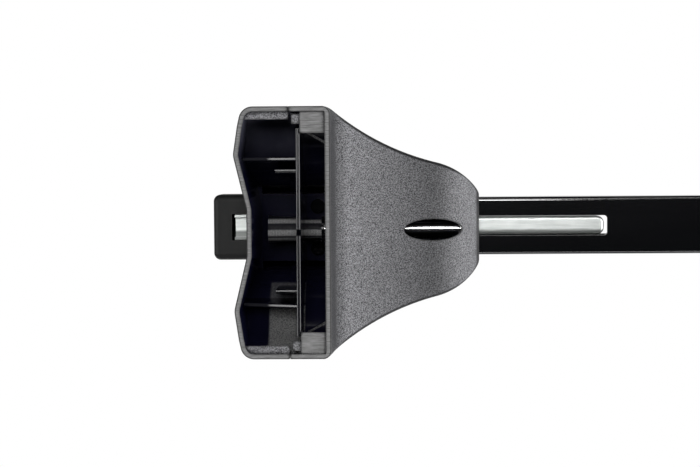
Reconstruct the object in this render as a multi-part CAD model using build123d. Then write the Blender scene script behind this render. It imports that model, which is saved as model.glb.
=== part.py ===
"""Roof rack crossbar: a slotted box bar carried by two flared, hollow feet. Millimetres, Z up.

The origin is midway between the feet, on the plane that their rims stand on. X runs along the bar and
Y along the vehicle. Each foot is drawn in its own frame, with X = 0 at the inboard face of its rim and
+X towards the middle of the bar. The left foot is shifted into place and the right one is the same
foot turned half round about Z.
"""

import os

from build123d import *

# Bar
BAR_LENGTH = 1180.0
BAR_WIDTH = 32.0
BAR_HEIGHT = 22.0
BAR_WALL = 1.5
BAR_EDGE_R = 2.0
BAR_Z = 80.0

# Foot, overall
FOOT_LENGTH = 128.0
RIM_WIDTH = 49.0
NOSE_REACH = 79.0
BAR_PAST_RIM = 15.2
FOOT_WALL = 2.6
TOP_WALL = 3.0

# Foot, plan outline
RECESS_DEPTH = 6.6
RECESS_HALF = 12.0
BULGE_HALF = 39.4
SHOULDER_SETBACK = 2.2
SHOULDER_INSET = 10.0
RIM_CORNER_R = 7.0
HIP_SETBACK = 1.0
WAVE_R = 9.0
WAIST_SHARE = 0.3165
WAIST_HALF = 46.5
TOE_LENGTH = 24.0
TOE_HALF = 35.3
NOSE_SIDE_WALL = 2.5

# Foot, underside profile
RIM_DRAFT = 2.2
INSTEP_Z = 19.6
INSTEP_R = 5.0
INSTEP_CROWN = 1.3
NOSE_LENGTH = 27.0
NOSE_START_Z = 32.5
EDGE_R = 4.0
RIM_EDGE_R = 0.7

# Foot, flare seen along the bar
FLARE_START_Z = 17.0
FLARE_R = 22.0
SHOULDER_WIDTH = 8.5
TOP_CORNER_R = 9.0

# Foot, seam between body and outer cover
SEAM_FROM_RIM = 20.7
SEAM_GAP = 0.4
LIP_LENGTH = 2.5
LIP_ROOT = 2.5
LIP_WALL = 1.2
LIP_GAP = 0.3
LIP_Z = 7.0
COVER_TOP_GAP = 0.4
COVER_TOP_WALL = 2.4
LEDGE_WIDTH = 4.0
LEDGE_Z = 2.5
LEDGE_HEIGHT = 3.0

# Foot, sleeve round the bar
BAR_CLEARANCE = 0.15
SLEEVE_WALL = 2.4
SLEEVE_FLOOR = 3.0
SLEEVE_SETBACK = 7.0
END_WALL = 2.5

# Foot, inside the rim
BLOCK_WIDTH = 11.0
BLOCK_HEIGHT = 12.0
BLOCK_Z = 1.0
TONGUE_WIDTH = 5.0
TONGUE_LENGTH = 4.3
TONGUE_Z = 2.0
TONGUE_HEIGHT = 8.0
GUSSET_WALL = 1.8
GUSSET_Z = 5.0
GUSSET_RUN = 7.0

# Oval window in the instep
WINDOW_START = 37.7
WINDOW_LENGTH = 30.5
WINDOW_WIDTH = 11.3

# Inner frame
BULKHEAD_INBOARD = 15.2
BULKHEAD_WALL = 2.3
BULKHEAD_Z = 4.5
FRAME_CLEARANCE = 0.3
RIB_WALL = 2.3
RIB_OFFSET = 37.5
RIB_OUTER_GAP = 1.0
RIB_OUTER_Z = 17.0
SHORT_RIB_OFFSET = 31.3
SHORT_RIB_LENGTH = 11.5
SHORT_RIB_Z = 20.0
FRAME_EDGE_R = 0.8
NOTCH_WIDTH = 4.0
NOTCH_DEPTH = 5.0

# Tension bolt and what carries it
BOLT_D = 8.0
BOLT_Z = 50.0
BOLT_HEAD_D = 12.0
BOLT_HEAD_LENGTH = 4.0
BOLT_KEY = 6.0
BOLT_KEY_DEPTH = 3.0
BOLT_TIP_CHAMFER = 1.0
HEAD_CHAMFER = 0.5
HEAD_TO_COVER = 5.3
HEAD_FIT = 0.3
BOLT_RUNNING_FIT = 0.05
BOLT_END_FLOAT = 0.1
GUIDE_OUTER_D = 14.5
GUIDE_INNER_D = 12.6
SHANK_D = 10.0
SHANK_END = 6.0
WASHER_D = 14.0
WASHER_THICKNESS = 1.4
CLIP_D = 12.5
CLIP_THICKNESS = 1.0
CLIP_GROOVE_DEPTH = 0.7
CLIP_MOUTH = 6.0
NOSE_BOSS_LENGTH = 11.0
NOSE_BOSS_WIDTH = 14.0
BOLT_IN_BOSS = 4.0
BOLT_TIP_GAP = 0.5

# Tension strip and what moves with it
SLOT_WIDTH = 11.0
SLOT_END = 150.9
TOP_SLOT_EXTRA = 4.0
STRIP_SIDE_GAP = 0.3
STRIP_END_GAP = 1.7
STRIP_HEIGHT = 6.0
STRIP_RECESS = 0.2
STRIP_EDGE_R = 1.8
STRIP_CORNER_R = 4.0
STRIP_OUTER_END = 40.0
KEEPER_START = 22.0
KEEPER_END = 60.0
KEEPER_SIDE = 2.2
KEEPER_THICKNESS = 2.5
KEEPER_GAP = 0.3
DRAW_OUT = 8.0
DRAW_IN = 1.25
DRAW_CLEARANCE = 1.0
CHANNEL_WALL = 1.5
CHANNEL_FIT = 0.3
CHANNEL_PAST_RIM = 6.5
CHANNEL_INNER_END = 28.0
CHANNEL_LIP_Z = 0.6
CHANNEL_SLOT_GAP = 0.5
RIVET_D = 4.0
RIVET_HEAD_D = 7.0
RIVET_HEAD_HEIGHT = 1.2
RIVET_FROM_END = 6.0

# Draw bracket and nut
NUT_SIZE = 15.0
NUT_LENGTH = 8.0
BRACKET_START = 6.0
BRACKET_WALL = 2.5
BRACKET_WIDTH = 16.0
BRACKET_BELOW_BOLT = 8.5
BRACKET_ABOVE_BOLT = 8.5
BRACKET_BOLT_GAP = 0.5
NECK_WIDTH = 9.0

# End cap
CAP_WALL = 2.0
CAP_END_WALL = 3.0
CAP_EDGE_R = 3.8
CAP_CLEARANCE = 0.15
CAP_BODY_GAP = 0.2
CAP_WINDOW_PAST_RIM = 7.9
CAP_WINDOW_LENGTH = 10.9
CAP_WINDOW_WIDTH = 14.6

# Clamp screws
SCREW_D = 4.2
SCREW_HOLE_FIT = 0.1
SCREW_HEAD_D = 8.0
SCREW_HEAD_HEIGHT = 3.0
SCREW_FROM_RIM = 9.0
SCREW_SIDE = 11.5
SCREW_PAST_WALL = 2.0
SCREW_CROSS_WIDTH = 1.2
SCREW_CROSS_DEPTH = 1.4

# Worked out from the sizes above
FAR = 2 * BAR_LENGTH
PAST = 1.0
HALF_LENGTH = FOOT_LENGTH / 2
BAR_TOP_Z = BAR_Z + BAR_HEIGHT
TOP_Z = BAR_TOP_Z + BAR_CLEARANCE + TOP_WALL
FLOOR_Z = BAR_Z - SLEEVE_FLOOR
SEAM_Z = FLOOR_Z
TUNNEL_HALF = BAR_WIDTH / 2 + BAR_CLEARANCE
SHOULDER_HALF = BAR_WIDTH / 2 + SHOULDER_WIDTH
NOSE_HALF = TUNNEL_HALF + NOSE_SIDE_WALL
SLOT_HALF = SLOT_WIDTH / 2
STRIP_HALF = SLOT_HALF - STRIP_SIDE_GAP
STRIP_Z = BAR_Z + STRIP_RECESS
STRIP_TOP_Z = STRIP_Z + STRIP_HEIGHT
CHANNEL_HALF = STRIP_HALF + CHANNEL_FIT + CHANNEL_WALL
BOLT_HEAD_END = RIM_WIDTH - RECESS_DEPTH - FOOT_WALL - HEAD_TO_COVER
GUIDE_END = BOLT_HEAD_END - BOLT_HEAD_LENGTH - BOLT_END_FLOAT
HEAD_SEAT_X = -GUIDE_END - BOLT_END_FLOAT
CLIP_X = WASHER_THICKNESS - SHANK_END + BOLT_END_FLOAT
BRACKET_LENGTH = NUT_LENGTH + 2 * BRACKET_WALL
NOSE_WALL_X = NOSE_REACH - FOOT_WALL
BOLT_END = NOSE_WALL_X - NOSE_BOSS_LENGTH + BOLT_IN_BOSS
RIM_FROM_BAR_END = RIM_WIDTH + BAR_PAST_RIM
RIM_X = BAR_LENGTH / 2 - RIM_FROM_BAR_END
SLEEVE_END = RIM_WIDTH - SLEEVE_SETBACK
CHANNEL_OUTER_END = RIM_WIDTH + CHANNEL_PAST_RIM
CAP_WINDOW_START = RIM_WIDTH + CAP_WINDOW_PAST_RIM
BULKHEAD_OUTER = BULKHEAD_INBOARD + BULKHEAD_WALL


def block(x, y, z):
    """A box between three (low, high) pairs."""
    size = Box(x[1] - x[0], y[1] - y[0], z[1] - z[0])
    return Pos((x[0] + x[1]) / 2, (y[0] + y[1]) / 2, (z[0] + z[1]) / 2) * size


def both_sides(shape):
    """A shape on the +Y side together with its mirror image."""
    return shape + mirror(shape, Plane.XZ)


def rod(radius, start, end, z=BOLT_Z):
    """A cylinder along X."""
    return Pos((start + end) / 2, 0, z) * Rot(0, 90, 0) * Cylinder(radius, end - start)


def plan_face():
    """The foot seen from below: wavy outer edge, straight sides, waist and nose."""
    recess = (RECESS_DEPTH - RIM_WIDTH, RECESS_HALF)
    bulge = (-RIM_WIDTH, BULGE_HALF)
    shoulder = (SHOULDER_SETBACK - RIM_WIDTH, HALF_LENGTH - SHOULDER_INSET)
    corner = (2 * SHOULDER_SETBACK - RIM_WIDTH, HALF_LENGTH)
    hip = (-HIP_SETBACK, HALF_LENGTH)
    toe = (NOSE_REACH - TOE_LENGTH, TOE_HALF)
    tip = (NOSE_REACH, NOSE_HALF)
    outer = Polyline((recess[0], 0), recess, bulge, shoulder, corner, hip)
    waist = ThreePointArc(hip, (WAIST_SHARE * NOSE_REACH, WAIST_HALF), toe)
    nose = TangentArc(toe, tip, tangent=waist % 1)
    closing = Polyline(tip, (NOSE_REACH + PAST, NOSE_HALF), (NOSE_REACH + PAST, 0), (recess[0], 0))
    half = make_face(outer.edges() + [waist, nose] + closing.edges())
    corners = {corner: RIM_CORNER_R, hip: RIM_CORNER_R, bulge: WAVE_R, recess: WAVE_R, shoulder: WAVE_R}
    for point, radius in corners.items():
        half = fillet(half.vertices().sort_by_distance((*point, 0))[0], radius)
    return half + mirror(half, Plane.XZ)


def side_face(bottom):
    """The foot seen from the side: drafted rim wall, crowned instep and round nose."""
    foot = (RIM_DRAFT * bottom / INSTEP_Z, bottom)
    heel = (RIM_DRAFT, INSTEP_Z)
    start = (NOSE_REACH - NOSE_LENGTH, NOSE_START_Z)
    middle = ((heel[0] + start[0]) / 2, (heel[1] + start[1]) / 2 + INSTEP_CROWN)
    instep = ThreePointArc(heel, middle, start)
    slope = instep % 1
    nose_r = NOSE_LENGTH / (1 - slope.Y)
    top = (NOSE_REACH, NOSE_START_Z + nose_r * slope.X)
    nose = TangentArc(start, top, tangent=slope)
    back = -RIM_WIDTH - FOOT_LENGTH
    closing = Polyline(top, (NOSE_REACH, TOP_Z), (back, TOP_Z), (back, bottom), foot, heel)
    face = make_face([instep, nose] + closing.edges())
    return fillet(face.vertices().sort_by_distance((*heel, 0))[0], INSTEP_R)


def front_face(bottom):
    """The foot seen along the bar: straight at the rim, then two tangent arcs in to the shoulders."""
    rise = BAR_Z - FLARE_START_Z
    run = SHOULDER_HALF - HALF_LENGTH + FLARE_R
    hollow_r = (run**2 + rise**2 - FLARE_R**2) / (2 * (FLARE_R - run))
    lower = Vector(HALF_LENGTH - FLARE_R, FLARE_START_Z)
    upper = Vector(SHOULDER_HALF + hollow_r, BAR_Z)
    joint = lower + (upper - lower).normalized() * FLARE_R
    start = (HALF_LENGTH, FLARE_START_Z)
    shoulder = (SHOULDER_HALF, BAR_Z)
    top = (SHOULDER_HALF, TOP_Z)
    flare = TangentArc(start, joint, tangent=(0, 1))
    hollow = TangentArc(joint, shoulder, tangent=flare % 1)
    closing = Polyline(shoulder, top, (0, TOP_Z), (0, bottom), (HALF_LENGTH, bottom), start)
    half = make_face([flare, hollow] + closing.edges())
    half = fillet(half.vertices().sort_by_distance((*top, 0))[0], TOP_CORNER_R)
    return half + mirror(half, Plane.YZ)


def raise_plan(face):
    return extrude(Pos(0, 0, -PAST) * face, TOP_Z + 2 * PAST)


def across(face):
    return extrude(Plane.XZ * face, FOOT_LENGTH, both=True)


def along(face):
    return extrude(Plane.YZ * face, FAR, both=True)


def foot_shell():
    """The whole moulded form of a foot, body and cover together: the solid and the shell, open below."""
    form = raise_plan(plan_face()) & across(side_face(0))
    line = (Plane.XZ * side_face(0)).face().outer_wire()
    ridge = []
    for edge in form.edges():
        middle = edge @ 0.5
        on_line = line.distance_to(Vector(middle.X, 0, middle.Z)) < 0.01
        inside = PAST < middle.Z < TOP_Z - PAST
        if on_line and inside and middle.X > 0 and abs(middle.Y) > NOSE_HALF / 2:
            ridge.append(edge)
    outer = fillet(ridge, EDGE_R) & along(front_face(0))
    outer = fillet(outer.edges().group_by(Axis.Z)[0], RIM_EDGE_R)
    deep = -2 * FOOT_WALL
    hollow = raise_plan(offset(plan_face(), -FOOT_WALL)) & across(offset(side_face(deep), -FOOT_WALL))
    hollow &= along(offset(front_face(deep), -FOOT_WALL))
    return outer, outer - hollow


def make_foot_body(outer, shell):
    inboard = block((-SEAM_FROM_RIM, NOSE_REACH + PAST), (-FAR, FAR), (-PAST, TOP_Z + PAST))
    above = block((-SLEEVE_END, -SEAM_FROM_RIM), (-FAR, FAR), (SEAM_Z, TOP_Z + PAST))
    body = shell & (inboard + above)
    sleeve_half = TUNNEL_HALF + SLEEVE_WALL
    sleeve = block((-SLEEVE_END, NOSE_WALL_X), (-sleeve_half, sleeve_half), (FLOOR_Z, BAR_TOP_Z))
    end_wall = block((-SLEEVE_END, END_WALL - SLEEVE_END), (-FAR, FAR), (SEAM_Z, TOP_Z + PAST)) & outer
    boss_x = (NOSE_WALL_X - NOSE_BOSS_LENGTH, NOSE_WALL_X + FOOT_WALL / 2)
    boss_half = NOSE_BOSS_WIDTH / 2
    boss = block(boss_x, (-boss_half, boss_half), (BOLT_Z - boss_half, BOLT_Z + boss_half)) & outer
    pads = corner_block() & outer
    body = body + [sleeve, end_wall, boss, lap_lip()] + both_sides(pads)
    bar_z = (BAR_Z, BAR_TOP_Z + BAR_CLEARANCE)
    body -= block((-FAR, FAR), (-TUNNEL_HALF, TUNNEL_HALF), bar_z)
    body -= rod(BOLT_D / 2 + BOLT_RUNNING_FIT, boss_x[0] - PAST, BOLT_END + BOLT_TIP_GAP)
    bracket_end = BRACKET_START + BRACKET_LENGTH
    neck_x = (BRACKET_START - DRAW_OUT - DRAW_CLEARANCE, bracket_end + DRAW_IN + DRAW_CLEARANCE)
    body -= block(neck_x, (-SLOT_HALF, SLOT_HALF), (FLOOR_Z - PAST, BAR_Z + PAST))
    for spot in screw_spots():
        body -= spot * Cylinder(SCREW_D / 2 + SCREW_HOLE_FIT, SLEEVE_FLOOR + 2 * PAST)
    return body - oval_window()


def lap_lip():
    """A lip on the body that laps behind the cover, so that no light shows through the seam."""
    deep = -2 * FOOT_WALL
    ring = offset(front_face(deep), -FOOT_WALL - LIP_GAP)
    root = offset(front_face(deep), -FOOT_WALL / 2)
    inside = along(offset(front_face(deep), -FOOT_WALL - LIP_GAP - LIP_WALL))
    height = (LIP_Z, FLOOR_Z - SLEEVE_FLOOR)
    lip = along(ring) & block((-SEAM_FROM_RIM - LIP_LENGTH, LIP_ROOT - SEAM_FROM_RIM), (-FAR, FAR), height)
    lip += along(root) & block((-SEAM_FROM_RIM, LIP_ROOT - SEAM_FROM_RIM), (-FAR, FAR), height)
    return lip - inside


def corner_block():
    """Solid pad in the rim's inboard corner, with its snap tongue and the gusset to the rim wall."""
    high = HALF_LENGTH - FOOT_WALL / 2
    low = HALF_LENGTH - FOOT_WALL - BLOCK_WIDTH
    pad = block((-BULKHEAD_INBOARD, RIM_DRAFT), (low, high), (BLOCK_Z, BLOCK_HEIGHT))
    tongue_low = high - FOOT_WALL - TONGUE_WIDTH
    tongue_x = (-BULKHEAD_INBOARD - TONGUE_LENGTH, -BULKHEAD_INBOARD + PAST)
    tongue = block(tongue_x, (tongue_low, tongue_low + TONGUE_WIDTH), (TONGUE_Z, TONGUE_Z + TONGUE_HEIGHT))
    near = (-BULKHEAD_INBOARD, low + GUSSET_WALL)
    far = (0, low - GUSSET_RUN)
    outline = Polyline(near, far, (0, far[1] + GUSSET_WALL), (near[0] + GUSSET_WALL, near[1]), close=True)
    gusset = extrude(Pos(0, 0, GUSSET_Z) * make_face(outline), BLOCK_HEIGHT - GUSSET_Z)
    return pad + tongue + gusset


def oval_window():
    """Long oval, cut straight up through the instep below the bolt."""
    outline = Ellipse(WINDOW_LENGTH / 2, WINDOW_WIDTH / 2)
    return extrude(Pos(WINDOW_START + WINDOW_LENGTH / 2, 0) * outline, BOLT_Z)


def make_outer_cover(outer, shell):
    seam_x = -SEAM_FROM_RIM - SEAM_GAP
    cover_top = SEAM_Z - COVER_TOP_GAP
    cover = shell & block((-RIM_WIDTH - PAST, seam_x), (-FAR, FAR), (-PAST, cover_top))
    lid_x = (-RIM_WIDTH - PAST, END_WALL - SLEEVE_END)
    lid = block(lid_x, (-FAR, FAR), (cover_top - COVER_TOP_WALL, cover_top)) & outer
    high = HALF_LENGTH - FOOT_WALL / 2
    ledge_x = (-RIM_WIDTH - PAST, seam_x)
    ledge = block(ledge_x, (high - FOOT_WALL / 2 - LEDGE_WIDTH, high), (LEDGE_Z, LEDGE_Z + LEDGE_HEIGHT))
    return cover + lid + both_sides(ledge & outer)


def make_inner_frame():
    inset = FOOT_WALL + LIP_GAP + LIP_WALL + FRAME_CLEARANCE
    room = along(offset(front_face(-2 * inset), -inset))
    outboard = -BULKHEAD_OUTER
    low = HALF_LENGTH - FOOT_WALL - BLOCK_WIDTH + TONGUE_WIDTH / 2
    bulkhead = block((outboard, -BULKHEAD_INBOARD), (-low, low), (BULKHEAD_Z, FLOOR_Z)) & room
    low_face = bulkhead.faces().sort_by(Axis.Z)[0]
    bulkhead = fillet(low_face.edges().filter_by(Axis.Y), FRAME_EDGE_R)
    rib_x = RIB_OUTER_GAP + FOOT_WALL - RIM_WIDTH
    outline = Polyline(
        (outboard, BULKHEAD_Z), (outboard, FLOOR_Z), (rib_x, FLOOR_Z), (rib_x, RIB_OUTER_Z), close=True
    )
    long_rib = rib(outline, RIB_OFFSET)
    short_x = outboard - SHORT_RIB_LENGTH
    outline = Polyline(
        (outboard, SHORT_RIB_Z), (outboard, FLOOR_Z), (short_x, FLOOR_Z), (short_x, SHORT_RIB_Z), close=True
    )
    short_rib = rib(outline, SHORT_RIB_OFFSET)
    frame = bulkhead + both_sides((long_rib + short_rib) & room)
    frame -= rod(SHANK_D / 2 + BOLT_RUNNING_FIT, outboard - PAST, -BULKHEAD_INBOARD + PAST)
    half = NOTCH_WIDTH / 2
    notch = make_face(
        Polyline(
            (-half, BULKHEAD_Z - PAST), (half, BULKHEAD_Z - PAST), (0, BULKHEAD_Z + NOTCH_DEPTH), close=True
        )
    )
    return frame - extrude(Plane.YZ * notch, FOOT_LENGTH, both=True)


def rib(outline, offset):
    """An upright rib along X, with its lower edges rounded."""
    web = extrude(Plane.XZ * make_face(outline), RIB_WALL / 2, both=True)
    low_face = web.faces().sort_by(Axis.Z)[0]
    long_edges = low_face.edges().sort_by(SortBy.LENGTH)[-2:]
    return Pos(0, offset, 0) * fillet(long_edges, FRAME_EDGE_R)


def make_bolt_sleeve():
    """Tapered guide, counterbored for the bolt's head, and the shank that goes through the bulkhead."""
    outboard = -BULKHEAD_OUTER
    outline = Polyline(
        (-BOLT_HEAD_END, 0),
        (-BOLT_HEAD_END, GUIDE_OUTER_D / 2),
        (outboard, GUIDE_INNER_D / 2),
        (outboard, SHANK_D / 2),
        (-SHANK_END, SHANK_D / 2),
        (-SHANK_END, 0),
        close=True,
    )
    turned = revolve(Plane.XZ * make_face(outline), Axis.X)
    sleeve = Pos(0, 0, BOLT_Z) * turned - rod(BOLT_D / 2 + BOLT_RUNNING_FIT, -FAR, FAR)
    return sleeve - rod(BOLT_HEAD_D / 2 + HEAD_FIT, -FAR, -GUIDE_END)


def make_tension_bolt():
    head_x = HEAD_SEAT_X - BOLT_HEAD_LENGTH
    head = rod(BOLT_HEAD_D / 2, head_x, HEAD_SEAT_X)
    head = chamfer(head.edges().group_by(Axis.X)[0], HEAD_CHAMFER)
    shaft = rod(BOLT_D / 2, HEAD_SEAT_X, BOLT_END)
    shaft = chamfer(shaft.edges().group_by(Axis.X)[-1], BOLT_TIP_CHAMFER)
    key = RegularPolygon(BOLT_KEY / 2, 6, major_radius=False)
    head_face = Plane(origin=(head_x, 0, BOLT_Z), x_dir=(0, 1, 0), z_dir=(1, 0, 0))
    socket = extrude(head_face * key, BOLT_KEY_DEPTH)
    groove = rod(BOLT_D, CLIP_X, CLIP_X + CLIP_THICKNESS)
    groove -= rod(BOLT_D / 2 - CLIP_GROOVE_DEPTH, -FAR, FAR)
    return head + shaft - socket - groove


def make_bolt_washer():
    ring = rod(WASHER_D / 2, -SHANK_END, WASHER_THICKNESS - SHANK_END)
    return ring - rod(BOLT_D / 2 + BOLT_RUNNING_FIT, -FAR, FAR)


def make_retaining_clip():
    clip = rod(CLIP_D / 2, CLIP_X, CLIP_X + CLIP_THICKNESS)
    clip -= rod(BOLT_D / 2 - CLIP_GROOVE_DEPTH + BOLT_RUNNING_FIT, -FAR, FAR)
    mouth = CLIP_MOUTH / 2
    return clip - block((-FAR, FAR), (-mouth, mouth), (BOLT_Z - CLIP_D, BOLT_Z))


def make_draw_nut():
    start = BRACKET_START + BRACKET_WALL
    half = NUT_SIZE / 2
    nut = block((start, start + NUT_LENGTH), (-half, half), (BOLT_Z - half, BOLT_Z + half))
    return nut - rod(BOLT_D / 2 + BOLT_RUNNING_FIT, -FAR, FAR)


def make_draw_bracket():
    """Folded stirrup round the nut, with a neck that goes up through the slot to the strip."""
    half = BRACKET_WIDTH / 2
    neck_half = NECK_WIDTH / 2
    end = BRACKET_START + BRACKET_LENGTH
    web_z = BOLT_Z + BRACKET_ABOVE_BOLT
    legs_z = (BOLT_Z - BRACKET_BELOW_BOLT, web_z + BRACKET_WALL)
    stirrup = block((BRACKET_START, end), (-half, half), legs_z)
    room_x = (BRACKET_START + BRACKET_WALL, end - BRACKET_WALL)
    stirrup -= block(room_x, (-FAR, FAR), (legs_z[0] - PAST, web_z))
    neck = block((BRACKET_START, end), (-neck_half, neck_half), (web_z, STRIP_Z))
    bracket = stirrup + neck - rod(BOLT_D / 2 + BRACKET_BOLT_GAP, -FAR, FAR)
    return bracket - bracket_rivet(RIVET_D / 2)


def make_tension_strip():
    inner = SLOT_END - STRIP_END_GAP
    length = inner + STRIP_OUTER_END
    centre = (inner - STRIP_OUTER_END) / 2
    outline = RectangleRounded(length, 2 * STRIP_HALF, STRIP_CORNER_R)
    bar = extrude(Pos(centre, 0, STRIP_Z) * outline, STRIP_HEIGHT)
    bar = fillet(bar.edges().group_by(Axis.Z)[0], STRIP_EDGE_R)
    keeper_half = SLOT_HALF + KEEPER_SIDE
    keeper_low = BAR_Z + BAR_WALL + KEEPER_GAP
    keeper_z = (keeper_low, keeper_low + KEEPER_THICKNESS)
    keeper = block((-KEEPER_START, KEEPER_END), (-keeper_half, keeper_half), keeper_z)
    return bar + keeper - channel_rivet(RIVET_D / 2) - bracket_rivet(RIVET_D / 2)


def make_hook_channel():
    outer_x = (-CHANNEL_OUTER_END, -CHANNEL_INNER_END)
    low = BAR_Z + CHANNEL_LIP_Z
    channel = block(outer_x, (-CHANNEL_HALF, CHANNEL_HALF), (low, STRIP_TOP_Z + CHANNEL_WALL))
    inside = CHANNEL_HALF - CHANNEL_WALL
    channel -= block((-FAR, FAR), (-inside, inside), (low - PAST, STRIP_TOP_Z))
    return channel - channel_rivet(RIVET_D / 2)


def upright(x, radius, low, high):
    return Pos(x, 0, (low + high) / 2) * Cylinder(radius, high - low)


def channel_rivet(radius):
    low = STRIP_TOP_Z - STRIP_HEIGHT / 2
    return upright(RIVET_FROM_END - STRIP_OUTER_END, radius, low, STRIP_TOP_Z + CHANNEL_WALL)


def bracket_rivet(radius):
    middle = BRACKET_START + BRACKET_LENGTH / 2
    return upright(middle, radius, STRIP_Z - STRIP_HEIGHT, STRIP_TOP_Z)


def make_strip_rivets():
    radius = RIVET_D / 2
    head_z = STRIP_TOP_Z + CHANNEL_WALL
    channel_head = upright(
        RIVET_FROM_END - STRIP_OUTER_END, RIVET_HEAD_D / 2, head_z, head_z + RIVET_HEAD_HEIGHT
    )
    bracket_head = upright(
        BRACKET_START + BRACKET_LENGTH / 2, RIVET_HEAD_D / 2, STRIP_TOP_Z, STRIP_TOP_Z + RIVET_HEAD_HEIGHT
    )
    return Compound([channel_rivet(radius) + channel_head, bracket_rivet(radius) + bracket_head])


def screw_spots():
    return [Pos(-SCREW_FROM_RIM, side * SCREW_SIDE, FLOOR_Z + SLEEVE_FLOOR / 2) for side in (-1, 1)]


def make_clamp_screws():
    screws = []
    top_z = BAR_Z + BAR_WALL + SCREW_PAST_WALL
    for side in (-1, 1):
        shank = upright(0, SCREW_D / 2, FLOOR_Z, top_z)
        head = upright(0, SCREW_HEAD_D / 2, FLOOR_Z - SCREW_HEAD_HEIGHT, FLOOR_Z)
        head = chamfer(head.edges().group_by(Axis.Z)[0], HEAD_CHAMFER)
        low = FLOOR_Z - SCREW_HEAD_HEIGHT
        half = SCREW_CROSS_WIDTH / 2
        arm = SCREW_HEAD_D / 3
        cross = block((-arm, arm), (-half, half), (low, low + SCREW_CROSS_DEPTH))
        cross += block((-half, half), (-arm, arm), (low, low + SCREW_CROSS_DEPTH))
        screws.append(Pos(-SCREW_FROM_RIM, side * SCREW_SIDE, 0) * (shank + head - cross))
    return Compound(screws)


def make_end_cap():
    outer = -RIM_FROM_BAR_END - CAP_END_WALL
    inner = -SLEEVE_END - CAP_BODY_GAP
    half = BAR_WIDTH / 2 + CAP_CLEARANCE
    wide = half + CAP_WALL
    room_z = (BAR_Z - CAP_CLEARANCE, BAR_TOP_Z + CAP_CLEARANCE)
    cap = block((outer, inner), (-wide, wide), (room_z[0] - CAP_WALL, room_z[1] + CAP_WALL))
    cap = fillet(cap.edges().filter_by(Axis.X) + cap.edges().group_by(Axis.X)[0], CAP_EDGE_R)
    cap -= block((-RIM_FROM_BAR_END, inner + PAST), (-half, half), room_z)
    window_half = CAP_WINDOW_WIDTH / 2
    window_x = (-CAP_WINDOW_START, CAP_WINDOW_LENGTH - CAP_WINDOW_START)
    return cap - block(window_x, (-window_half, window_half), (room_z[0] - CAP_WALL - PAST, BAR_Z + PAST))


def bar_slots():
    """What is cut from the bar at one end: the keyhole slot below, the slot above and the screw holes."""
    below = (BAR_Z - PAST, BAR_Z + BAR_WALL + PAST)
    wide_half = CHANNEL_HALF + CHANNEL_SLOT_GAP
    wide_end = -CHANNEL_INNER_END + DRAW_IN + CHANNEL_SLOT_GAP
    cuts = block((-FAR, wide_end), (-wide_half, wide_half), below)
    cuts += slot_cut(SLOT_END, below)
    cuts += slot_cut(SLOT_END + TOP_SLOT_EXTRA, (BAR_TOP_Z - BAR_WALL - PAST, BAR_TOP_Z + PAST))
    for side in (-1, 1):
        hole = upright(-SCREW_FROM_RIM, SCREW_D / 2 + SCREW_HOLE_FIT, BAR_Z - PAST, BAR_Z + BAR_WALL + PAST)
        cuts += Pos(0, side * SCREW_SIDE, 0) * hole
    return cuts


def slot_cut(end, z):
    length = end + CHANNEL_INNER_END
    outline = RectangleRounded(length, SLOT_WIDTH, STRIP_EDGE_R)
    return extrude(Pos(end - length / 2, 0, z[0]) * outline, z[1] - z[0])


def make_bar_tube():
    outer = RectangleRounded(BAR_WIDTH, BAR_HEIGHT, BAR_EDGE_R)
    inner = Rectangle(BAR_WIDTH - 2 * BAR_WALL, BAR_HEIGHT - 2 * BAR_WALL)
    middle = Plane(origin=(0, 0, BAR_Z + BAR_HEIGHT / 2), x_dir=(0, 1, 0), z_dir=(1, 0, 0))
    tube = extrude(middle * (outer - inner), BAR_LENGTH / 2, both=True)
    for place in SIDES.values():
        tube -= place * bar_slots()
    return tube


SIDES = {"left": Pos(-RIM_X, 0, 0), "right": Rot(0, 0, 180) * Pos(-RIM_X, 0, 0)}


def main():
    os.makedirs("parts", exist_ok=True)
    outer, shell = foot_shell()
    pieces = {
        "foot_body": make_foot_body(outer, shell),
        "outer_cover": make_outer_cover(outer, shell),
        "inner_frame": make_inner_frame(),
        "bolt_sleeve": make_bolt_sleeve(),
        "tension_bolt": make_tension_bolt(),
        "bolt_washer": make_bolt_washer(),
        "retaining_clip": make_retaining_clip(),
        "draw_nut": make_draw_nut(),
        "draw_bracket": make_draw_bracket(),
        "tension_strip": make_tension_strip(),
        "hook_channel": make_hook_channel(),
        "strip_rivets": make_strip_rivets(),
        "clamp_screws": make_clamp_screws(),
        "end_cap": make_end_cap(),
    }
    for side, place in SIDES.items():
        for name, piece in pieces.items():
            export_step(place * piece, f"parts/{side}_{name}.step")
    export_step(make_bar_tube(), "parts/bar_tube.step")


main()
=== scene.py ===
from math import cos, radians, sin

import bpy
from mathutils import Matrix, Vector

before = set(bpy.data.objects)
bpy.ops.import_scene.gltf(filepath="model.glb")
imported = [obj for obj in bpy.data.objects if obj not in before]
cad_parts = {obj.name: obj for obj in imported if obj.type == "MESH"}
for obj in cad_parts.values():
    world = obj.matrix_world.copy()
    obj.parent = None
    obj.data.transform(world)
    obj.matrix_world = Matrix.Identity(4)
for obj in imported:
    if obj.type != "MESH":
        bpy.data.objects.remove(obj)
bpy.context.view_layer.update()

# Sizes are in metres. The left foot is placed from the bar's end, and RIM_X is the inboard face of its rim.
BAR_PAST_RIM = 0.0152
RIM_WIDTH = 0.049
BAR_START = min(corner[0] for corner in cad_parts["bar_tube"].bound_box)
RIM_X = BAR_START + BAR_PAST_RIM + RIM_WIDTH

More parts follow.
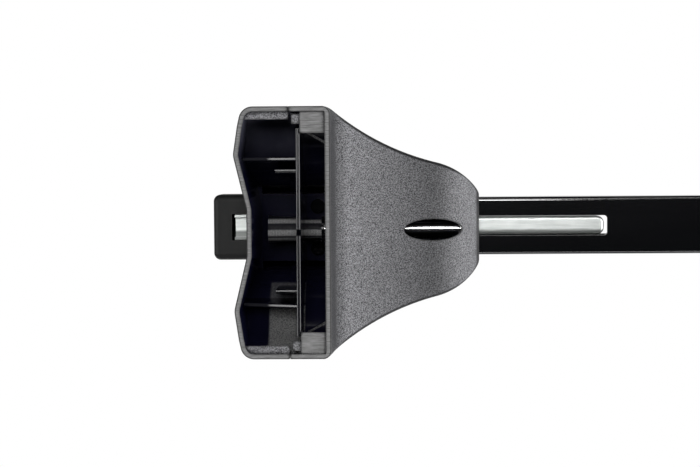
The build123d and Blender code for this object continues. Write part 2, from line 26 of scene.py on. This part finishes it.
# Camera, fitted to the rim, the bar, its slot, the end cap and the window of the foot
CAMERA_FROM_RIM = (0.02415, -0.03471, -0.79825)
LEAN_RIGHT = -0.0178
LEAN_UP = -0.0439
ROLL = -0.0058
SENSOR = 36.0
LENS = 81.46
CLIP_START, CLIP_END = 0.01, 50.0


def make_camera():
    """A camera below the left foot that looks up, with the bar running to the right of the picture."""
    data = bpy.data.cameras.new("camera")
    data.sensor_fit = "HORIZONTAL"
    data.sensor_width = SENSOR
    data.lens = LENS
    data.clip_start = CLIP_START
    data.clip_end = CLIP_END
    camera = bpy.data.objects.new("camera", data)
    bpy.context.scene.collection.objects.link(camera)
    forward = Vector((LEAN_RIGHT, -LEAN_UP, 1.0)).normalized()
    right = Vector((1.0, 0.0, 0.0))
    right = (right - forward * right.dot(forward)).normalized()
    up = right.cross(forward)
    right, up = (right + up * ROLL).normalized(), (up - right * ROLL).normalized()
    place = Matrix((right, up, -forward)).transposed().to_4x4()
    place.translation = Vector((RIM_X, 0.0, 0.0)) + Vector(CAMERA_FROM_RIM)
    camera.matrix_world = place
    bpy.context.scene.camera = camera


# Sockets of the Mix node that carry its factor and two colours, and its colour result
MIX_INPUTS = (0, 6, 7)
MIX_RESULT = 2


class Nodes:
    """Short calls for building one node tree."""

    def __init__(self, name):
        self.material = bpy.data.materials.new(name)
        self.material.use_nodes = True
        self.tree = self.material.node_tree
        self.shader = self.tree.nodes["Principled BSDF"]

    @classmethod
    def of_tree(cls, tree):
        """The same calls for a tree that is there already, such as the world's."""
        nodes = cls.__new__(cls)
        nodes.tree = tree
        return nodes

    def add(self, kind, **settings):
        node = self.tree.nodes.new(kind)
        for key, value in settings.items():
            setattr(node, key, value)
        return node

    def link(self, source, target):
        self.tree.links.new(source, target)

    def feed(self, socket, source):
        """Links source to a socket of the material's shader."""
        self.link(source, self.shader.inputs[socket])

    def set(self, socket, value):
        """Sets a constant on a socket of the material's shader."""
        self.shader.inputs[socket].default_value = value

    def place(self):
        """Object coordinates, the same on every node because each sits at the origin."""
        return self.add("ShaderNodeTexCoord").outputs["Object"]

    def axes(self, vector):
        """The three numbers of a vector socket."""
        node = self.add("ShaderNodeSeparateXYZ")
        self.link(vector, node.inputs["Vector"])
        return [node.outputs[axis] for axis in "XYZ"]

    def noise(self, scale, detail=2.0, roughness=0.5, stretch=None):
        node = self.add("ShaderNodeTexNoise")
        node.inputs["Scale"].default_value = scale
        node.inputs["Detail"].default_value = detail
        node.inputs["Roughness"].default_value = roughness
        where = self.place()
        if stretch:
            mapping = self.add("ShaderNodeMapping")
            mapping.inputs["Scale"].default_value = stretch
            self.link(where, mapping.inputs["Vector"])
            where = mapping.outputs["Vector"]
        self.link(where, node.inputs["Vector"])
        return node.outputs["Fac"]

    def ramp(self, source, low, high, start=0.3, end=0.7):
        """A colour from low to high as source goes from start to end."""
        node = self.add("ShaderNodeValToRGB")
        node.color_ramp.elements[0].position = start
        node.color_ramp.elements[1].position = end
        node.color_ramp.elements[0].color = (*low, 1.0)
        node.color_ramp.elements[1].color = (*high, 1.0)
        self.link(source, node.inputs["Fac"])
        return node.outputs["Color"]

    def span(self, source, low, high, start=0.3, end=0.7):
        """A number from low to high as source goes from start to end."""
        node = self.add("ShaderNodeMapRange")
        node.inputs["From Min"].default_value = start
        node.inputs["From Max"].default_value = end
        node.inputs["To Min"].default_value = low
        node.inputs["To Max"].default_value = high
        self.link(source, node.inputs["Value"])
        return node.outputs["Result"]

    def rise(self, source, start, end):
        """From 0 to 1 as source goes from start to end."""
        return self.span(source, 0.0, 1.0, start, end)

    def fall(self, source, start, end):
        """From 1 to 0 as source goes from start to end."""
        return self.span(source, 1.0, 0.0, start, end)

    def between(self, source, low, high, soft):
        """1 where source lies from low to high, fading over soft to either side of both."""
        above = self.rise(source, low - soft, low + soft)
        below = self.fall(source, high - soft, high + soft)
        return self.times(above, below)

    def bump(self, height, depth):
        node = self.add("ShaderNodeBump")
        node.inputs["Strength"].default_value = 1.0
        node.inputs["Distance"].default_value = depth
        self.link(height, node.inputs["Height"])
        self.feed("Normal", node.outputs["Normal"])

    def math(self, operation, a, b=0.0):
        """An operation on two sockets or numbers."""
        node = self.add("ShaderNodeMath", operation=operation)
        for socket, value in zip(node.inputs, (a, b)):
            if isinstance(value, (int, float)):
                socket.default_value = value
            else:
                self.link(value, socket)
        return node.outputs["Value"]

    def times(self, first, *others):
        """The product of sockets or numbers."""
        for other in others:
            first = self.math("MULTIPLY", first, other)
        return first

    def mix(self, blend, a, b, factor=1.0):
        """Two colours put together."""
        node = self.add("ShaderNodeMix", data_type="RGBA", blend_type=blend)
        for index, value in zip(MIX_INPUTS, (factor, a, b)):
            if isinstance(value, (int, float)):
                node.inputs[index].default_value = value
            else:
                self.link(value, node.inputs[index])
        return node.outputs[MIX_RESULT]


def grey(level):
    """A colour without tint."""
    return (level, level, level)


def foot_place(m):
    """Side of the rack, and place in either foot as in the left one: inboard of the rim, to the picture's
    bottom, and up."""
    x, y, z = m.axes(m.place())
    side = m.math("SIGN", x)
    from_rim = m.math("SUBTRACT", -RIM_X, m.math("ABSOLUTE", x))
    return side, from_rim, m.times(y, side, -1.0), z


# Inside of a foot: the middle of the open rim, outboard of its inboard face. A wall is inside where its
# normal points towards that middle, and a ceiling by its height, its slope and its place outboard of the
# rim's inboard face.
FOOT_MIDDLE = 0.020
WALL_INWARD = (-0.004, -0.002)
CEILING_HEIGHT = (0.006, 0.008)
CEILING_SLOPE = (-0.6, -0.4)
CEILING_END = (-0.004, -0.001)


def foot_mask(m):
    """1 on the foot's outside and rim and 0 on its inside walls and ceiling, then the normal's y and z."""
    side, from_rim, low_side, z = foot_place(m)
    turn_x, turn_y, turn_z = m.axes(m.add("ShaderNodeNewGeometry").outputs["Normal"])
    along = m.times(turn_x, side, -1.0, m.math("ADD", from_rim, FOOT_MIDDLE))
    outward = m.math("ADD", along, m.times(turn_y, side, -1.0, low_side))
    inside_wall = m.fall(outward, *WALL_INWARD)
    ceiling = m.times(
        m.rise(z, *CEILING_HEIGHT), m.fall(turn_z, *CEILING_SLOPE), m.fall(from_rim, *CEILING_END)
    )
    return m.math("SUBTRACT", 1.0, m.math("MAXIMUM", inside_wall, ceiling)), turn_y, turn_z


# Shade in corners: reach, darkest tone, and the open share at which it starts and ends
INNER_CORNERS = (0.002, 0.2, 0.5, 0.9)
OUTER_CORNERS = (0.0016, 0.1, 0.42, 0.78)
CORNER_SAMPLES = 8


def corner_shade(m, reach, dark, start, end, outer):
    """Down to dark in inner corners, or with outer, along outer edges; 1 elsewhere."""
    node = m.add("ShaderNodeAmbientOcclusion", samples=CORNER_SAMPLES, inside=outer)
    node.inputs["Distance"].default_value = reach
    return m.span(node.outputs["AO"], dark, 1.0, start, end)


# Painted light and shade on the instep, by distance inboard of the rim: its tone falls from the rim and
# rises again on the nose.
# It keeps to faces that look down, and SIDEWAYS is where a normal's y part makes a face one of the sides.
PAINTED_INSTEP_TONES = (1.6, 0.7)
PAINTED_INSTEP_RUN = (0.008, 0.052)
NOSE_LIGHT_TONE = 1.95
NOSE_LIGHT_RUN = (0.057, 0.068)
PAINTED_INSTEP_SLOPE = (-0.15, 0.05)
SIDEWAYS = (0.4, 0.6)


def painted_instep_light(m, from_rim, sideways, turn_z):
    """The painted light and shade of the instep, with 1 on every other face."""
    instep = m.times(m.fall(turn_z, *PAINTED_INSTEP_SLOPE), m.math("SUBTRACT", 1.0, sideways))
    tone = m.times(m.span(from_rim, *PAINTED_INSTEP_TONES, *PAINTED_INSTEP_RUN), m.span(from_rim, 1.0, NOSE_LIGHT_TONE, *NOSE_LIGHT_RUN))
    return m.math("ADD", 1.0, m.times(m.math("SUBTRACT", tone, 1.0), instep))


# Painted shade in the groove beside the rim: its tone, the distances at which it starts and ends, and the
# height it starts at
GROOVE_SHADE = 0.3
GROOVE_START = (-0.001, 0.0002)
GROOVE_END = (0.0015, 0.0085)
GROOVE_HEIGHT = (0.0008, 0.002)


def painted_groove_shade(m, from_rim, z):
    """Painted shade in the groove beside the rim, and 1 elsewhere."""
    inboard = m.times(m.rise(from_rim, *GROOVE_START), m.fall(from_rim, *GROOVE_END))
    beside_rim = m.times(inboard, m.rise(z, *GROOVE_HEIGHT))
    return m.span(beside_rim, 1.0, GROOVE_SHADE, 0.0, 1.0)


# Painted shade on edges: its tone, and for each the normal's z part from and to, with a softness, that
# belongs to it.
# The nose's end starts at a distance inboard of the rim, and the rim's edge stops at a height.
EDGE_SHADE = 0.15
SIDE_RIDGE = (-0.75, -0.08, 0.06)
NOSE_END = (-0.36, 0.02, 0.06)
NOSE_END_START = (0.05, 0.06)
RIM_EDGE = (-0.96, 0.1, 0.03)
RIM_EDGE_HEIGHT = (0.0009, 0.0013)


def painted_edge_shade(m, from_rim, z, sideways, turn_z):
    """Painted shade on the ridges of the sides, the nose's end and the rim's edge, and 1 elsewhere."""
    ridge = m.times(m.between(turn_z, *SIDE_RIDGE), sideways)
    nose_end = m.times(m.between(turn_z, *NOSE_END), m.rise(from_rim, *NOSE_END_START))
    rim_edge = m.times(m.between(turn_z, *RIM_EDGE), m.fall(z, *RIM_EDGE_HEIGHT))
    edges = m.math("MAXIMUM", m.math("MAXIMUM", ridge, nose_end), rim_edge)
    return m.span(edges, 1.0, EDGE_SHADE, 0.0, 1.0)


# Inside the foot, painted shade with painted light: colours from low to high, and the places of a painted
# light patch beside the seam, fainter beside the rib, and of fainter painted light in the corner towards the
# picture's top
INSIDE_SHADE_BLACK = ((0.006, 0.006, 0.02), (0.01, 0.01, 0.03))
LIT_PATCH_COLOUR = (grey(0.16), grey(0.46))
CORNER_LIGHT_COLOUR = ((0.06, 0.06, 0.09), (0.12, 0.12, 0.16))
LIT_PATCH_FADE = 0.0006
LIT_PATCH_RUN = (-0.0335, -0.0150)
LIT_PATCH_SIDE = (0.0400, 0.0610)
DIM_PATCH_SIDE = (0.0290, 0.0390)
DIM_PATCH_SHARE = 0.35
CORNER_LIGHT_SIDE = (-0.056, -0.03)
CORNER_LIGHT_RUN = (-0.02, -0.012)


def foot_inside(m, speckle, cloud, from_rim, low_side):
    """The colour of the foot's inside: black painted shade with patches of painted light."""
    black = m.ramp(speckle, *INSIDE_SHADE_BLACK)
    # Painted light: a pale patch beside the seam, fainter beside the rib
    painted_light_colour = m.ramp(speckle, *LIT_PATCH_COLOUR, start=0.42, end=0.58)
    dim_patch = m.times(m.between(low_side, *DIM_PATCH_SIDE, LIT_PATCH_FADE), DIM_PATCH_SHARE)
    strength = m.math("MAXIMUM", m.between(low_side, *LIT_PATCH_SIDE, LIT_PATCH_FADE), dim_patch)
    lit_patch = m.times(m.between(from_rim, *LIT_PATCH_RUN, LIT_PATCH_FADE), strength)
    # Painted light: a faint glow in the corner towards the picture's top
    corner_light = m.times(m.fall(low_side, *CORNER_LIGHT_SIDE), m.fall(from_rim, *CORNER_LIGHT_RUN))
    return m.mix("MIX", m.mix("MIX", black, painted_light_colour, lit_patch), m.ramp(cloud, *CORNER_LIGHT_COLOUR), corner_light)


# The foot's finish: its clouds, the paler streaked tone on the rim's underside, its gloss, and how rough its
# inside is
GRAINS_IN_CLOUD = 30.0
CLOUD_TONES = (grey(0.9), grey(1.0))
RIM_UNDERSIDE_COLOUR = (grey(0.16), grey(0.31))
STROKES = 1500.0
STROKE_STRETCH = (0.12, 1.0, 1.0)
RIM_UNDERSIDE_HEIGHT = (0.0012, 0.0022)
FOOT_GLOSS = 0.3
INSIDE_ROUGHNESS = 0.12


def foot_plastic(name, low, high, roughness, grain, depth):
    """The foot's grained grey: painted light on the instep, paler rim underside, painted shade, smooth
    painted-shade inside.
    """
    m = Nodes(name)
    speckle = m.noise(grain, detail=3.0, roughness=0.7)
    cloud = m.noise(grain / GRAINS_IN_CLOUD)
    outside, turn_y, turn_z = foot_mask(m)
    _, from_rim, low_side, z = foot_place(m)
    sideways = m.rise(m.math("ABSOLUTE", turn_y), *SIDEWAYS)
    groove_shade = painted_groove_shade(m, from_rim, z)
    colour = m.ramp(speckle, low, high, start=0.4, end=0.6)
    colour = m.mix("MULTIPLY", colour, m.ramp(cloud, *CLOUD_TONES))
    colour = m.mix("MULTIPLY", colour, painted_instep_light(m, from_rim, sideways, turn_z))
    # A paler, streaked tone on the rim's underside
    rim_underside = m.ramp(m.noise(STROKES, stretch=STROKE_STRETCH), *RIM_UNDERSIDE_COLOUR)
    colour = m.mix("MIX", colour, rim_underside, m.fall(z, *RIM_UNDERSIDE_HEIGHT))
    colour = m.mix("MULTIPLY", colour, corner_shade(m, *INNER_CORNERS, outer=False))
    colour = m.mix("MULTIPLY", colour, corner_shade(m, *OUTER_CORNERS, outer=True))
    colour = m.mix("MULTIPLY", colour, m.times(groove_shade, painted_edge_shade(m, from_rim, z, sideways, turn_z)))
    # The inside takes painted shade, with painted light patches, in place of the outside's colour
    m.feed("Base Color", m.mix("MIX", foot_inside(m, speckle, cloud, from_rim, low_side), colour, outside))
    m.feed("Specular IOR Level", m.times(groove_shade, FOOT_GLOSS))
    rougher = m.math("SUBTRACT", m.span(speckle, *roughness), INSIDE_ROUGHNESS)
    m.feed("Roughness", m.math("ADD", m.times(rougher, outside), INSIDE_ROUGHNESS))
    m.bump(m.times(speckle, outside), depth)
    return m.material


def grained_plastic(name, low, high, roughness, grain, depth):
    """Moulded plastic with a fine eroded grain: speckled colour, uneven gloss and a shallow bump."""
    m = Nodes(name)
    speckle = m.noise(grain, detail=3.0, roughness=0.65)
    m.feed("Base Color", m.ramp(speckle, low, high, start=0.36, end=0.64))
    m.feed("Roughness", m.span(speckle, *roughness))
    m.bump(speckle, depth)
    return m.material


# The bolt's guide: colours from low to high, roughness, and painted highlight bands from and to, with their
# fade, by place towards the picture's bottom. Its rings have a rate in radians for each metre.
GUIDE_BLACK = ((0.006, 0.006, 0.012), (0.012, 0.012, 0.02))
HIGHLIGHT_COLOUR = ((0.4, 0.4, 0.41), (0.75, 0.75, 0.75))
GUIDE_ROUGHNESS = (0.4, 0.5)
UPPER_HIGHLIGHT = (-0.0056, -0.0034, 0.0004)
MIDDLE_HIGHLIGHT = (0.0002, 0.0034, 0.0004)
LOWER_HIGHLIGHT = (0.0044, 0.0058, 0.0003)
LOWER_HIGHLIGHT_SHARE = 0.6
HIGHLIGHT_METAL = 0.15
RING_RATE = 7500.0
RING_SHARE = 0.12
RING_DEPTH = 0.00005
FLECKS = 1500.0


def guide_plastic(name):
    """Black plastic with painted highlight bands that run along the guide and fine rings round it."""
    m = Nodes(name)
    _, from_rim, low_side, _ = foot_place(m)
    rings = m.math("SINE", m.times(from_rim, RING_RATE))
    fleck = m.noise(FLECKS)
    lower_highlight = m.times(m.between(low_side, *LOWER_HIGHLIGHT), LOWER_HIGHLIGHT_SHARE)
    highlight_bands = m.math("MAXIMUM", m.between(low_side, *MIDDLE_HIGHLIGHT), lower_highlight)
    highlight_bands = m.math("ADD", m.between(low_side, *UPPER_HIGHLIGHT), highlight_bands)
    painted_light_colour = m.ramp(m.math("ADD", fleck, m.times(rings, RING_SHARE)), *HIGHLIGHT_COLOUR)
    m.feed("Base Color", m.mix("MIX", m.ramp(fleck, *GUIDE_BLACK), painted_light_colour, highlight_bands))
    m.feed("Metallic", m.times(highlight_bands, HIGHLIGHT_METAL))
    m.feed("Roughness", m.span(fleck, *GUIDE_ROUGHNESS))
    m.bump(rings, RING_DEPTH)
    return m.material


# Black paint: the scales of its orange peel, dust and smears, and the depth of the peel
PEEL = 260.0
PEEL_DEPTH = 0.00001
DUST = 2400.0
SMEARS = 30.0
SMEAR_STRETCH = (0.2, 1.0, 1.0)


def glossy_coat(name, low, high, roughness, ior):
    """Smooth black paint with a faint orange peel and slight dust."""
    m = Nodes(name)
    smear = m.noise(SMEARS, detail=3.0, stretch=SMEAR_STRETCH)
    m.feed("Base Color", m.ramp(m.noise(DUST), low, high, start=0.4, end=0.75))
    m.feed("Roughness", m.span(smear, *roughness))
    m.set("IOR", ior)
    m.bump(m.noise(PEEL, detail=1.0), PEEL_DEPTH)
    return m.material


# Plated steel: its drawn lines and clouds, and the painted shade band on the side towards the picture's
# bottom
DRAWN_LINES = 900.0
LINE_TONES = ((0.8, 0.82, 0.81), (1.0, 1.0, 1.0))
LINE_STRETCH = (0.06, 1.0, 1.0)
LINE_DEPTH = 0.000006
CLOUDS = 120.0
SHADE_BAND_TONE = 0.3
SHADE_BAND_SIDE = (0.0022, 0.0034)
SHADE_BAND_WAVER = 0.0012


def plated_steel(name, low, high, roughness):
    """Pale metal with drawn lines, a cloudy finish and a painted shade band along one side."""
    m = Nodes(name)
    lines = m.noise(DRAWN_LINES, detail=3.0, stretch=LINE_STRETCH)
    cloud = m.noise(CLOUDS, detail=3.0)
    _, _, low_side, _ = foot_place(m)
    colour = m.mix("MULTIPLY", m.ramp(cloud, low, high), m.ramp(lines, *LINE_TONES))
    wavering = m.math("ADD", low_side, m.times(cloud, SHADE_BAND_WAVER))
    m.feed("Base Color", m.mix("MULTIPLY", colour, m.span(wavering, 1.0, SHADE_BAND_TONE, *SHADE_BAND_SIDE)))
    m.feed("Roughness", m.span(lines, *roughness))
    m.set("Metallic", 1.0)
    m.bump(lines, LINE_DEPTH)
    return m.material


def make_materials():
    """Every finish by name: colours and roughness from low to high, then what its kind needs."""
    return {
        "bar_coat": glossy_coat(
            "bar_coat", (0.003, 0.0033, 0.004), (0.005, 0.0055, 0.0066), roughness=(0.07, 0.1), ior=2.6
        ),
        "grey_plastic": foot_plastic(
            "grey_plastic", (0.022, 0.022, 0.024), (0.25, 0.25, 0.262), roughness=(0.5, 0.6),
            grain=1850.0, depth=0.00022
        ),
        "black_plastic": glossy_coat(
            "black_plastic", (0.002, 0.002, 0.005), (0.004, 0.004, 0.008), roughness=(0.15, 0.19), ior=1.9
        ),
        "guide_plastic": guide_plastic("guide_plastic"),
        "cap_plastic": grained_plastic(
            "cap_plastic", (0.003, 0.0032, 0.003), (0.014, 0.0145, 0.014), roughness=(0.48, 0.6),
            grain=2400.0, depth=0.00008
        ),
        "zinc_steel": plated_steel(
            "zinc_steel", (0.86, 0.89, 0.87), (0.95, 0.98, 0.96), roughness=(0.32, 0.37)
        ),
        "bolt_steel": plated_steel(
            "bolt_steel", (0.8, 0.8, 0.81), (0.92, 0.92, 0.92), roughness=(0.2, 0.26)
        ),
        "black_steel": glossy_coat(
            "black_steel", (0.002, 0.002, 0.004), (0.003, 0.003, 0.005), roughness=(0.08, 0.1), ior=1.35
        ),
    }


# The finish of each kind of CAD node, left and right alike
FINISHES = {
    "bar_tube": "bar_coat",
    "foot_body": "grey_plastic",
    "outer_cover": "grey_plastic",
    "inner_frame": "black_plastic",
    "bolt_sleeve": "guide_plastic",
    "tension_bolt": "bolt_steel",
    "bolt_washer": "black_steel",
    "retaining_clip": "black_steel",
    "draw_nut": "bolt_steel",
    "draw_bracket": "zinc_steel",
    "tension_strip": "zinc_steel",
    "hook_channel": "zinc_steel",
    "strip_rivets": "bolt_steel",
    "clamp_screws": "black_steel",
    "end_cap": "cap_plastic",
}


def paint(materials):
    """Gives every CAD node its finish."""
    for name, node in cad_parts.items():
        kind = name.removeprefix("left_").removeprefix("right_")
        node.data.materials.clear()
        node.data.materials.append(materials[FINISHES[kind]])


# World: its tint, light on matt surfaces from overhead and from below, the share of it that gloss shows,
# and, as the upward part of a direction, where overhead is reached and where the white backdrop starts
SKY_TINT = (0.97, 0.98, 1.0, 1.0)
AMBIENT = 1.1
DARK_BELOW = 0.015
GLOSSY_SHARE = 0.08
OVERHEAD = 0.6
BACKDROP = (0.88, 0.92)


def make_world():
    """Soft light from above, little from below, and a white backdrop that camera, metal and gloss see."""
    world = bpy.data.worlds.new("studio")
    bpy.context.scene.world = world
    world.use_nodes = True
    world.node_tree.nodes.clear()
    w = Nodes.of_tree(world.node_tree)
    path = w.add("ShaderNodeLightPath").outputs
    up = w.axes(w.add("ShaderNodeTexCoord").outputs["Generated"])[2]
    glow = w.span(up, DARK_BELOW, AMBIENT, 0.0, OVERHEAD)
    glow = w.times(glow, w.span(path["Is Glossy Ray"], 1.0, GLOSSY_SHARE, 0.0, 1.0))
    light = w.add("ShaderNodeBackground")
    light.inputs["Color"].default_value = SKY_TINT
    w.link(glow, light.inputs["Strength"])
    white = w.add("ShaderNodeBackground")
    white.inputs["Color"].default_value = (1.0, 1.0, 1.0, 1.0)
    mirrored = w.math("MAXIMUM", path["Is Glossy Ray"], path["Is Transmission Ray"])
    mirrored = w.times(mirrored, w.rise(up, *BACKDROP))
    mix = w.add("ShaderNodeMixShader")
    w.link(w.math("MAXIMUM", path["Is Camera Ray"], mirrored), mix.inputs["Fac"])
    w.link(light.outputs["Background"], mix.inputs[1])
    w.link(white.outputs["Background"], mix.inputs[2])
    w.link(mix.outputs["Shader"], w.add("ShaderNodeOutputWorld").inputs["Surface"])


def lamp(name, place, aim, size, power, tint):
    """A soft rectangular lamp at place that shines at aim."""
    data = bpy.data.lights.new(name, "AREA")
    data.shape = "RECTANGLE"
    data.size, data.size_y = size
    data.energy = power
    data.color = tint
    obj = bpy.data.objects.new(name, data)
    bpy.context.scene.collection.objects.link(obj)
    obj.location = place
    obj.rotation_euler = (aim - place).to_track_quat("-Z", "Y").to_euler()


# Lamps round the left foot: degrees off straight below, degrees round from the picture's right by its
# bottom, width and height for each metre of distance, level and tint. They stand far off, so that both
# feet get nearly the same light. A level of 1 lights a facing surface to its own colour.
LAMP_DISTANCE = 12.0
POWER_OF_LEVEL = 10.0
AIM_HEIGHT = 0.03
WHITE = grey(1.0)
COOL = (0.9, 0.92, 1.0)
LAMPS = {
    "right": (68.0, 0.0, (1.1, 1.2), 1.5, WHITE),
    "left": (66.0, 180.0, (0.45, 0.6), 0.28, WHITE),
    "front_top": (12.0, 262.0, (0.3, 0.25), 0.21, WHITE),
    "top_strip": (46.0, 270.0, (1.5, 0.075), 0.15, WHITE),
    "bottom_strip": (50.0, 90.0, (1.5, 0.075), 0.125, WHITE),
    "bottom": (80.0, 90.0, (1.5, 0.45), 0.09, COOL),
    "over": (139.0, 90.0, (1.4, 0.7), 0.5, WHITE),
}


def make_lamps():
    """Soft lamps below the rack, and one above it for the views from there."""
    foot = Vector((RIM_X, 0.0, AIM_HEIGHT))
    for name, (tilt, turn, size, level, tint) in LAMPS.items():
        tilt, turn = radians(tilt), radians(turn)
        way = Vector((sin(tilt) * cos(turn), sin(tilt) * sin(turn), -cos(tilt)))
        size = [side * LAMP_DISTANCE for side in size]
        power = level * POWER_OF_LEVEL * LAMP_DISTANCE ** 2
        lamp(name, foot + way * LAMP_DISTANCE, foot, size, power, tint)


make_camera()
paint(make_materials())
make_world()
make_lamps()
bpy.context.scene.view_settings.view_transform = "Standard"
